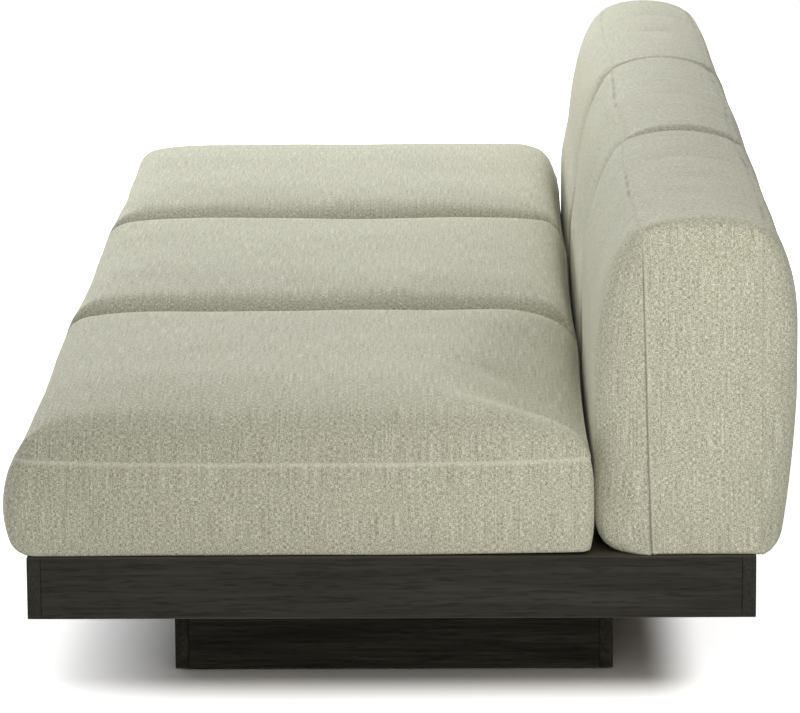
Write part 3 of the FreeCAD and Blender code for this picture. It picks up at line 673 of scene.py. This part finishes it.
def seatTop(c, bay, x, y, halfY, outside):  # height over the seam, share of the rise, way to the seam
    s, t = x / c["half"], y / halfY
    fromEnd = c["half"] - np.abs(x)
    fromSide = halfY - np.abs(y)
    rim = c["rim"]
    sunk = np.where(outside, np.clip((fromEnd - rim["start"]) / rim["run"], 0, 1), 1.0)
    sunk = sunk ** 2 * (3 - 2 * sunk)
    run = np.where(y < 0, c["frontRun"], c["rearRun"][bay] + rim["widen"] * (1 - sunk))
    endEdge = squareEdge(fromEnd, c["endRun"], c["endSquare"])
    sideEdge = squareEdge(fromSide, run, c["square"])
    meet = c["meet"]
    hump = 1 - np.minimum(((1 - endEdge) ** meet + (1 - sideEdge) ** meet) ** (1 / meet), 1)
    rise = c["rise"] + c["plump"][bay]
    fall = np.where(y < 0, c["frontFall"], 0) * fade(fromSide, c["fallRun"], 2)
    fall = fall + np.where(outside, c["endFall"][bay], 0) * fade(fromEnd, c["endFallRun"], 1.6)
    towards = np.clip((s + 1) / c["dropReach"], 0, 1) ** 1.5
    dropRun = mix(*c["dropRun"], towards) * mix(rim["keepRun"], 1, sunk)
    drop = c["drop"][bay] * mix(c["dropFrom"], 1, towards) * mix(rim["keepDrop"], 1, sunk)
    fall = fall + drop * fade(halfY - y, dropRun, 1.3)
    sagIn = c["sag"] * ((1 - np.abs(t) ** 3) * np.abs(s) ** 6 + (1 - np.abs(s) ** 3) * np.abs(t) ** 6)
    lift = (rise - fall) * hump + c["crown"] * (1 - s ** 4) * (1 - t ** 4) - np.minimum(sagIn, c["sag"])
    toSeam = np.minimum(np.hypot(fromEnd, rise * endEdge), np.hypot(fromSide, rise * sideEdge))
    return lift, hump, toSeam


def seatForm(c, bay, middle, seed):
    halfY = (c["rear"] - c["front"]) / 2
    midY = (c["rear"] + c["front"]) / 2
    height = round(c["seam"] - c["base"], 4)
    footShare = c["footShare"]
    xs = edgeLines(c["half"], (c["endRun"], c["endRun"]), c["endSquare"], c["cells"][0])
    ys = edgeLines(halfY, (c["frontRun"], c["rearRun"][bay]), c["square"], c["cells"][1])
    footLines = footShare * np.arange(5) / 5
    wall = np.linspace(footShare, 1 - seamSteps[-1] / height, c["cells"][2])
    shares = np.concatenate([footLines, wall, 1 - seamSteps[:-1][::-1] / height])
    grid, quads, sides, sheets = shellGrid(len(xs) - 1, len(ys) - 1, len(shares) - 1)
    i, j, k = grid.T
    top = k == len(shares) - 1
    edge = (i == 0) | (i == len(xs) - 1) | (j == 0) | (j == len(ys) - 1)
    share = shares[k]
    x = xs[i] * share ** 2 + evenLines(xs)[i] * (1 - share ** 2)
    y = ys[j] * share ** 2 + evenLines(ys)[j] * (1 - share ** 2)
    px, py, nx, ny = roundedPlan(x, y, c["half"], halfY, np.where(y < 0, *c["corner"]))
    s, t = x / c["half"], y / halfY
    px = px * (1 - c["pull"] * (1 - t ** 2) / c["half"])  # edges pull in between corners
    py = py * (1 - c["pull"] * (1 - s ** 2) / halfY)
    onEnd = np.abs(nx) > np.abs(ny)
    seamLine = c["seam"] - c["sag"] * (1 - np.abs(np.where(onEnd, t, s)) ** 3)
    tall = seamLine - c["base"]
    outside = s * middle > 0
    endFoot = np.where(outside, c["outerFoot"], c["endFoot"])
    weight = np.abs(nx) ** 2
    foot = weight * endFoot + (1 - weight) * np.where(ny < 0, c["frontFoot"], c["rearFoot"])
    foot = foot * (1 + ripple(np.stack([px, py, px * 0], 1), seed, *c["footWave"]))
    bend = np.radians(90) * np.clip(share / footShare, 0, 1)
    inset = foot * (1 - np.sin(bend))
    straight = foot + (tall - foot) * (share - footShare) / (1 - footShare)
    z = np.where(share < footShare, foot * (1 - np.cos(bend)), straight)
    level = z / tall
    swell = np.clip(4 * level * (1 - level), 0, 1) ** 0.8
    endBulge = np.where(nx * middle > 0, c["outerBulge"], c["endBulge"])
    sideBulge = np.where(ny < 0, c["frontBulge"], c["rearBulge"])
    bulge = np.where(edge, (np.abs(nx) * endBulge + np.abs(ny) * sideBulge) * swell, 0)
    under = np.where(k == 0, 1.0, 0.0)
    insetX = np.where(edge, inset, under * endFoot)
    insetY = np.where(edge, inset, under * np.where(y < 0, c["frontFoot"], c["rearFoot"]))
    px = px * (1 - insetX / c["half"]) + nx * bulge
    px = px + np.where(outside, c["outer"] * s * np.abs(s), 0)
    py = py * (1 - insetY / halfY) + ny * bulge
    lift, hump, overTop = seatTop(c, bay, x, y, halfY, outside)
    dents = ripple(np.stack([px, py, px * 0], 1), seed + 40, *c["dents"]) * hump
    toRear, toEnd = c["cockFrom"]
    cock = c["cock"] * fade(1 - t, 1 - toRear, 1.5) * fade(1 - np.abs(s), 1 - toEnd, 2)
    low = z + c["base"] + cock * (1 - share)  # rear corners lift off the deck a little
    points = np.stack([px + middle, py + midY, np.where(top, c["seam"] + lift + dents, low)], 1)
    toSeam = np.where(top, overTop, (1 - share) * height)
    hold = np.where(~top & (share < c["heldShare"]), 1.0, fade(toSeam, seamHold))
    return {
        "points": points, "quads": quads, "sides": sides, "sheets": sheets,
        "toSeam": toSeam, "hold": hold, "cut": np.array([], int),
    }


def footPath(distance, flat, radius, reach=0.05):  # out along the deck, round and up
    rest = reach - radius
    length = flat + radius * np.pi / 2 + rest
    run = np.clip(distance / reach, 0, 1) * length
    bend = np.clip((run - flat) / radius, 0, np.pi / 2)
    out = np.minimum(run, flat) + radius * np.sin(bend)
    up = radius * (1 - np.cos(bend)) + np.maximum(run - flat - radius * np.pi / 2, 0)
    return out / (flat + radius), np.where(distance > reach, distance, up)


def backForm(c, bay, middle, seed):
    halfZ = (c["top"] - c["base"]) / 2
    midZ = (c["top"] + c["base"]) / 2
    xs = edgeLines(c["half"], (c["endRun"], c["endRun"]), c["square"], c["cells"][0])
    zs = spread(-halfZ, halfZ, c["cells"][1])
    frontSeam = c["front"][bay]
    width = c["rear"] - frontSeam
    ws = spread(0.0, width, c["cells"][2])  # from the rear seam to the front seam
    slot = c["slot"]
    for centre in c["uprights"]:
        for line in (centre - slot["half"], centre + slot["half"]):
            xs[np.argmin(np.abs(xs - line))] = line
    grid, quads, sides, sheets = shellGrid(len(xs) - 1, len(zs) - 1, len(ws) - 1)
    i, j, k = grid.T
    z, w = zs[j], ws[k]
    low = z + halfZ
    crowd = (2 * w / width - 1) ** 2
    x = xs[i] * crowd + evenLines(xs)[i] * (1 - crowd)
    front = k == len(ws) - 1
    rear = k == 0
    edge = (i == 0) | (i == len(xs) - 1) | (j == 0) | (j == len(zs) - 1)
    corner = np.where(z > 0, np.where(x * middle > 0, *c["topCorner"]), c["lowCorner"])
    px, pz, nx, nz = roundedPlan(x, z, c["half"], halfZ, corner)
    s, t = x / c["half"], z / halfZ
    outside = s * middle > 0
    px = px * (1 - c["pull"] * (1 - t ** 2) / c["half"]) + np.where(outside, c["outer"] * s * np.abs(s), 0)
    up = low / (2 * halfZ)
    share = w / width
    swell = np.clip(4 * share * (1 - share), 0, 1) ** 0.75
    endBulge = np.where(nx * middle > 0, c["outerBulge"], c["endBulge"])
    endBulge = endBulge * np.clip(up * 6, 0, 1)  # none at the deck
    crown = np.where(nz > 0, np.abs(nz) * (c["topCrown"] + c["plump"][bay]), 0)
    bulge = np.where(edge, (crown + np.abs(nx) * endBulge) * swell, 0)
    px = px + nx * bulge
    pz = pz + nz * bulge
    frontOut, frontUp = footPath(low, *c["frontFoot"])
    rearOut, rearUp = footPath(low, *c["rearFoot"])
    ends = c["half"] - np.abs(x)
    fill = c["frontFill"] + c["lean"] * (1 - up)  # the panel stays upright while its seam leans
    meet = c["fillOut"]
    fill = fill + (frontSeam - meet["line"]) * np.clip((meet["below"] - z - midZ) / meet["run"], 0, 1)
    pressed = 1 - c["pressed"][0] * fade(low, c["pressed"][1])
    loose = np.where(outside, pressed, 1 + c["parting"] * up ** 2)
    frontEnds = squareEdge(ends, c["endRun"] * loose, c["square"])
    frontOut = fill * frontOut * frontEnds * shoulder(halfZ - z, c["topRun"], 0.6)
    taper = 1 - c["rearTaper"][0] * fade(low, c["rearTaper"][1], 1.3)
    rearEnds = squareEdge(ends, c["rearEndRun"], c["square"])
    rearOut = c["rearFill"] * rearOut * taper * rearEnds * shoulder(halfZ - z, c["rearRun"], 0.55)
    lean = c["lean"] * (1 - up) * share  # the front seam runs back towards the deck
    wander = ripple(np.stack([px, px * 0, pz], 1), seed, *c["wander"]) - c["bow"] * (1 - s ** 2) * up ** 4
    lean = lean + wander * (2 * share - 1)  # seams stray a little, most along the top
    py = c["rear"] - w + lean - np.where(front, frontOut, 0) + np.where(rear, rearOut, 0)
    foot = np.where(front, frontUp, np.where(rear, rearUp, low)) - low
    points = np.stack([px + middle, py, pz + midZ + np.where(edge, 0, foot)], 1)
    toEdge = np.hypot(ends, np.where(front, fill * frontEnds, c["rearFill"] * rearEnds))
    toEdge = np.minimum(toEdge, np.minimum(halfZ - z, low))
    toSeam = np.where(front | rear, toEdge, np.minimum(w, width - w))
    still = (j == 0) | ((front | rear) & (low < c["held"]))
    hold = np.where(still, 1.0, fade(toSeam, seamHold))
    bottom = np.flatnonzero((j == 0) & ~front & ~rear)
    rows = np.unique(w[bottom])
    for line in (slot["near"], slot["far"]):  # two rows of the underside meet the sleeves' edges
        nearest = rows[np.argmin(np.abs(c["rear"] - rows + c["lean"] * rows / width - line))]
        points[bottom[w[bottom] == nearest], 1] = line
    mid = points[quads].mean(1)
    cut = np.zeros(len(quads), bool)
    underside = (sides == 5) & (mid[:, 1] > slot["near"]) & (mid[:, 1] < slot["far"])  # the last sheet
    for centre in c["uprights"]:
        cut |= underside & (np.abs(mid[:, 0] - middle - centre) < slot["half"])
    return {
        "points": points, "quads": quads, "sides": sides, "sheets": sheets,
        "toSeam": toSeam, "hold": hold, "cut": np.flatnonzero(cut),
    }


def weaveMap(points, sheets, seed, turned):  # metres along the cloth, panel by panel
    maps = []
    for number, (sheet, flip) in enumerate(sheets):
        place = points[sheet]
        across = np.zeros(sheet.shape)
        along = np.zeros(sheet.shape)
        across[1:] = np.cumsum(np.linalg.norm(np.diff(place, axis=0), axis=2), 0)
        along[:, 1:] = np.cumsum(np.linalg.norm(np.diff(place, axis=1), axis=2), 1)
        across -= across[sheet.shape[0] // 2]
        along -= along[:, sheet.shape[1] // 2][:, None]
        shift = (0.37 * number + 0.113 * seed, 0.21 * number + 0.271 * seed)  # cut from different places
        pair = [along, across] if number in turned else [across, along]
        maps.append(sheetQuads(np.stack(pair, 2) + shift, flip))
    return np.concatenate(maps)


def pocket(points, quads, uv, cut, depth):  # sleeves for the uprights
    gone = quads[cut]
    used = np.unique(gone)
    pairs = [(q[n], q[(n + 1) % 4]) for q in gone for n in range(4)]
    known = set(pairs)
    rim = [pair for pair in pairs if (pair[1], pair[0]) not in known]
    levels = [0.004, depth * 0.5, depth - 0.004, depth]  # close to both ends, so the edges stay sharp
    added = []
    faces = []
    below = {n: n for n in used}
    for level in levels:
        above = {n: len(points) + len(added) + m for m, n in enumerate(used)}
        added.extend(points[n] + (0, 0, level) for n in used)
        faces.extend((below[a], below[b], above[b], above[a]) for a, b in rim)
        below = above
    faces.extend(tuple(below[n] for n in q) for q in gone)
    keep = np.setdiff1d(np.arange(len(quads)), cut)
    points = np.concatenate([points, np.array(added)])
    new = np.array(faces)
    newUv = points[new][:, :, (0, 2)]
    return points, np.concatenate([quads[keep], new]), np.concatenate([uv[keep], newUv])


def makeMesh(name, points, quads, uv, marks):
    mesh = bpy.data.meshes.new(name)
    mesh.from_pydata(points.tolist(), [], quads.tolist())
    layer = mesh.uv_layers.new(name="weave")
    layer.data.foreach_set("uv", uv.astype(np.float32).ravel())
    for mark, values in marks.items():
        attribute = mesh.attributes.new(mark, "FLOAT", "POINT")
        attribute.data.foreach_set("value", values.astype(np.float32))
    mesh.polygons.foreach_set("use_smooth", np.ones(len(quads), bool))
    mesh.update()
    return mesh


def vertexNormals(mesh):
    out = np.zeros(len(mesh.vertices) * 3, np.float32)
    mesh.vertex_normals.foreach_get("vector", out)
    return out.reshape(-1, 3).astype(float)


seamSet = {
    "line": 0.0013, "beside": 0.0024, "besideWidth": 0.0016,
    "seat": {"dark": 0.10, "pale": 0.65},  # dark: painted shade in the seam line, pale: painted highlight on its ridge (backs alike)
    "back": {"dark": 1.0, "rearDark": 0.15, "topDark": (0.12, 0.7), "pale": 0.6},
    "top": 0.615, "topRun": 0.04, "rear": 0.45,  # where a back's seams turn over the top, what is its rear
    "gaps": (77, 0.07, 1.0), "gapShare": 0.25,  # a line that shows in places only
    "steps": [0, 0.0022, 0.0055, 0.011],  # distances from the seam, and the height at each
    "seatRise": [0.0013, 0.0004, -0.0003, 0],  # stands proud
    "panelRise": [-0.0013, 0.0003, 0.0003, 0],  # drawn in
    "stripRise": [-0.0013, 0.0010, 0.0004, 0],
    "topSoft": 0.6,
}


def overBack(points):  # nothing on the sides of a back, one on its top
    return np.clip((points[:, 2] - seamSet["top"]) / seamSet["topRun"], 0, 1)


# painted shade along the seam lines and painted highlight on the ridges beside them
def seamMarks(kind, toSeam, onStrip, points):
    c = seamSet
    look = c[kind]
    line = np.exp(-(toSeam / c["line"]) ** 2)
    beside = np.where(onStrip, np.exp(-((toSeam - c["beside"]) / c["besideWidth"]) ** 2), 0)
    if kind == "seat":
        return {"seam": line * look["dark"], "ridge": np.maximum(line, beside) * look["pale"]}
    onTop = overBack(points)
    onRear = points[:, 1] > c["rear"]
    broken = np.clip(ripple(points, *c["gaps"]) - c["gapShare"], 0, 1)
    topDark = look["topDark"][0] + look["topDark"][1] * broken
    dark = np.where(onRear, look["rearDark"], look["dark"]) * (1 - onTop) + topDark * onTop
    pale = np.where(onRear, look["pale"] * broken, look["pale"]) * (1 - onTop)
    return {"seam": line * dark, "ridge": beside * pale}


def seamShape(kind, toSeam, onStrip, points):
    c = seamSet
    if kind == "seat":
        return np.interp(toSeam, c["steps"], c["seatRise"])
    panel = np.interp(toSeam, c["steps"], c["panelRise"])
    strip = np.interp(toSeam, c["steps"], c["stripRise"])
    return np.where(onStrip, strip, panel) * (1 - c["topSoft"] * overBack(points))


# start, end (x from the middle of the bay), width, depth
foldSet = {
    "seat_left": [
        ((0.30, 0.255, 0.400), (0.16, 0.190, 0.424), 0.012, 0.0030),
        ((0.36, 0.240, 0.400), (0.31, 0.150, 0.424), 0.010, -0.0030),
        ((0.20, 0.255, 0.400), (0.02, 0.225, 0.420), 0.010, -0.0025),
        ((0.37, 0.200, 0.410), (0.36, 0.080, 0.424), 0.012, 0.0020),
    ],
    "seat_middle": [
        ((0.37, 0.250, 0.395), (0.28, 0.190, 0.420), 0.010, -0.0025),
        ((0.30, 0.255, 0.400), (0.14, 0.220, 0.420), 0.010, -0.0020),
    ],
    "seat_right": [
        ((0.350, 0.175, 0.420), (0.235, 0.050, 0.425), 0.028, 0.0045),
        ((0.210, 0.190, 0.395), (-0.250, 0.150, 0.405), 0.060, -0.0060),
        ((-0.360, 0.250, 0.390), (-0.200, 0.215, 0.405), 0.010, -0.0020),
        ((-0.300, 0.258, 0.385), (-0.080, 0.240, 0.395), 0.009, 0.0018),
    ],
    "back_left": [
        ((0.33, 0.300, 0.640), (0.31, 0.272, 0.430), 0.012, -0.0025),
        ((0.24, 0.295, 0.630), (0.25, 0.272, 0.460), 0.012, 0.0020),
        ((0.14, 0.300, 0.640), (0.17, 0.272, 0.480), 0.012, -0.0020),
    ],
    "back_middle": [
        ((0.35, 0.300, 0.640), (0.32, 0.272, 0.420), 0.012, -0.0025),
        ((0.28, 0.300, 0.640), (0.24, 0.272, 0.480), 0.011, 0.0022),
        ((0.17, 0.300, 0.640), (0.19, 0.272, 0.500), 0.012, -0.0022),
    ],
    "back_right": [
        ((0.385, 0.325, 0.650), (0.24, 0.285, 0.600), 0.010, -0.0020),
        ((0.385, 0.320, 0.630), (0.27, 0.275, 0.530), 0.010, 0.0020),
        ((0.385, 0.315, 0.615), (0.33, 0.275, 0.470), 0.009, -0.0018),
        ((0.400, 0.345, 0.657), (0.400, 0.485, 0.657), 0.005, -0.0022),
    ],
}


def foldShape(folds, points, middle):  # soft folds and puckers along straight lines
    total = np.zeros(len(points))
    for start, end, width, depth in folds:
        first = np.array(start) + (middle, 0, 0)
        span = np.array(end) - np.array(start)
        along = np.clip((points - first) @ span / (span @ span), 0, 1)
        gap = np.linalg.norm(points - first - along[:, None] * span, axis=1)
        ease = np.sin(np.pi * (0.08 + 0.84 * along)) ** 0.7  # shallow at both ends
        total += depth * ease * np.exp(-(gap / width) ** 2)
    return total


fillSet = {
    "frames": 20, "quality": 4, "pressure": 3.0, "mass": 0.3,
    "slack": -0.006, "stiff": 14.0, "shear": 0.4, "bend": 0.5,  # shear as a share of stiff
    "cap": {"seat": 0.0035, "back": 0.006},  # farthest that cloth may leave its form
    "rounds": 5,
}


def evenOut(values, quads, rounds):  # takes the small wrinkles out
    pairs = np.concatenate([quads[:, [n, (n + 1) % 4]] for n in range(4)])
    count = np.bincount(pairs.ravel(), minlength=len(values))[:, None]
    for _ in range(rounds):
        total = np.zeros_like(values)
        np.add.at(total, pairs[:, 0], values[pairs[:, 1]])
        np.add.at(total, pairs[:, 1], values[pairs[:, 0]])
        values = 0.5 * values + 0.5 * total / count
    return values


clearSet = {"bay": 0.3996, "seatRear": 0.2672, "backFront": 0.2680}


def keepClear(c, points, kind, bay):  # neighbours touch and never overlap
    middle = bays[bay]
    for edge, inner in ((-1, bay != "left"), (1, bay != "right")):
        if inner:
            points[:, 0] = middle + edge * np.minimum(edge * (points[:, 0] - middle), c["bay"])
    if kind == "seat":
        points[:, 1] = np.minimum(points[:, 1], c["seatRear"])
    else:
        points[:, 1] = np.maximum(points[:, 1], c["backFront"])


def addCloth(c, cushion):
    piece = cushion["piece"]
    hold = np.round(cushion["hold"], 2)
    group = piece.vertex_groups.new(name="hold")
    for weight in np.unique(hold[hold > 0]):
        group.add(np.flatnonzero(hold == weight).tolist(), float(weight), "REPLACE")
    cloth = piece.modifiers.new("fill", "CLOTH")
    cloth.point_cache.frame_start = 1
    cloth.point_cache.frame_end = c["frames"]
    cloth.collision_settings.use_collision = False
    setup = cloth.settings
    setup.quality = c["quality"]
    setup.mass = c["mass"]
    setup.use_pressure = True
    setup.uniform_pressure_force = c["pressure"]
    setup.effector_weights.gravity = 0
    setup.tension_stiffness = c["stiff"]
    setup.compression_stiffness = c["stiff"]
    setup.shear_stiffness = c["stiff"] * c["shear"]
    setup.bending_stiffness = c["bend"]
    setup.shrink_min = c["slack"]
    setup.vertex_group_mass = "hold"
    setup.pin_stiffness = 1.0


def fillCushions(c, batch):  # all covers are blown up together, then held near their form
    for cushion in batch:
        addCloth(c, cushion)
    for step in range(1, c["frames"] + 1):
        scene.frame_set(step)
    depsgraph = bpy.context.evaluated_depsgraph_get()
    for cushion in batch:
        ready = cushion["piece"].evaluated_get(depsgraph)
        points = np.zeros(len(cushion["points"]) * 3, np.float32)
        ready.data.vertices.foreach_get("co", points)
        move = points.reshape(-1, 3).astype(float) - cushion["points"]
        move = evenOut(move, cushion["quads"], c["rounds"]) * (1 - cushion["hold"])[:, None]
        length = np.maximum(np.linalg.norm(move, axis=1), 1e-9)
        cap = c["cap"][cushion["kind"]]
        soft = cap * np.tanh(length / cap)  # eases up to the cap
        print(cushion["piece"].name, "moved on average %.4f, most %.4f" % (length.mean(), length.max()))
        cushion["points"] = cushion["points"] + move * (soft / length)[:, None]
    for cushion in batch:
        piece = cushion["piece"]
        piece.modifiers.clear()
        piece.vertex_groups.clear()
        piece.data.vertices.foreach_set("co", cushion["points"].astype(np.float32).ravel())
        piece.data.update()
    scene.frame_set(1)


def finishCushion(c, cushion):
    piece, kind, bay = cushion["piece"], cushion["kind"], cushion["bay"]
    points, quads, sides = cushion["points"], cushion["quads"], cushion["sides"]
    toSeam, cut = cushion["toSeam"], cushion["cut"]
    mesh = piece.data
    onStrip = np.ones(len(points), bool)
    onStrip[np.unique(quads[sides < c["panels"]])] = False  # panels, seam lines included
    shape = seamShape(kind, toSeam, onStrip, points)
    shape = shape + foldShape(foldSet["%s_%s" % (kind, bay)], points, bays[bay])
    points = points + vertexNormals(mesh) * shape[:, None]
    keepClear(clearSet, points, kind, bay)
    marks = seamMarks(kind, toSeam, onStrip, points)
    uv = weaveMap(points, cushion["sheets"], cushion["seed"], c["turned"])
    if len(cut):
        points, quads, uv = pocket(points, quads, uv, cut, c["slot"]["depth"])
        marks = {key: np.concatenate([v, np.zeros(len(points) - len(v))]) for key, v in marks.items()}
    rough = makeMesh(piece.name, points, quads, uv, marks)
    piece.data = rough
    bpy.data.meshes.remove(mesh)
    smooth = piece.modifiers.new("smooth", "SUBSURF")
    smooth.levels = 1
    smooth.render_levels = 1
    bpy.context.view_layer.update()
    ready = piece.evaluated_get(bpy.context.evaluated_depsgraph_get())
    final = bpy.data.meshes.new_from_object(ready)
    piece.modifiers.clear()
    piece.data = final
    final.name = piece.name
    final.materials.clear()
    final.materials.append(linen)
    bpy.data.meshes.remove(rough)


cushions = []
for kind, settings, makeForm in (("seat", seatSet, seatForm), ("back", backSet, backForm)):
    for order, (bay, middle) in enumerate(bays.items()):
        seed = order + (1 if kind == "seat" else 11)
        cushion = makeForm(settings, bay, middle, seed)
        name = "%s_cushion_%s" % (kind, bay)
        uv = weaveMap(cushion["points"], cushion["sheets"], seed, settings["turned"])
        mesh = makeMesh(name + "_form", cushion["points"], cushion["quads"], uv, {})
        piece = bpy.data.objects.new(name, mesh)
        scene.collection.objects.link(piece)
        cushion.update(piece=piece, kind=kind, bay=bay, seed=seed, settings=settings)
        cushions.append(cushion)
print("cushion forms:", len(cushions))

fillCushions(fillSet, cushions)
print("cushions filled")

for cushion in cushions:
    piece, kind, bay = cushion["piece"], cushion["kind"], cushion["bay"]
    finishCushion(cushion["settings"], cushion)
    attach(piece, "%s_%s" % (kind, bay))
    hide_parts("%s_cover_%s" % (kind, bay), "%s_foam_%s" % (kind, bay))
print("cushions finished")
